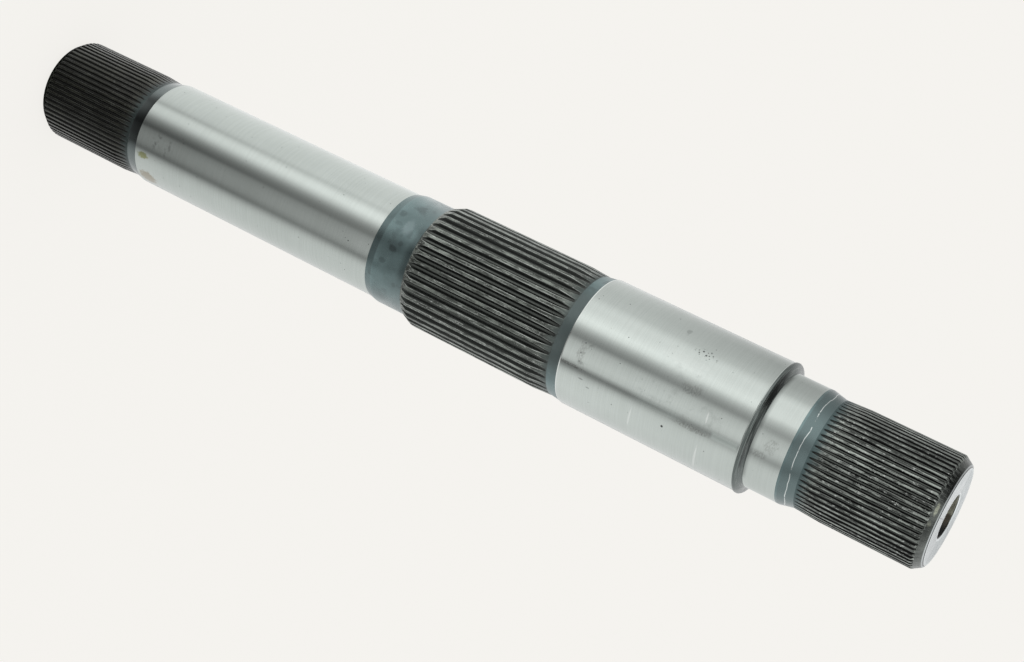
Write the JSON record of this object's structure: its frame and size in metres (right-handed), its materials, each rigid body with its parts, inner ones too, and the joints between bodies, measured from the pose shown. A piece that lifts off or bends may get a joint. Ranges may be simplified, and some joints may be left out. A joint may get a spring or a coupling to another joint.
{
  "type": "splined shaft",
  "caption": "Steel transmission shaft with fine involute splines at both ends, a coarser spline between, ground bearing journals and a blind bore in each end.",
  "frame": {"origin": "centre of the far end face, on which the shaft stands", "axes": "+Z along the shaft's axis, from the far end face up to the near end face; +X through a tooth of the near spline"},
  "size_m": [0.076, 0.076, 0.6],
  "materials": {
    "shaft_steel": "ground journals, dark heat-treated splines and body"
  },
  "bodies": {
    "root": {"splined_shaft": "shaft_steel"}
  },
  "joints": []
}
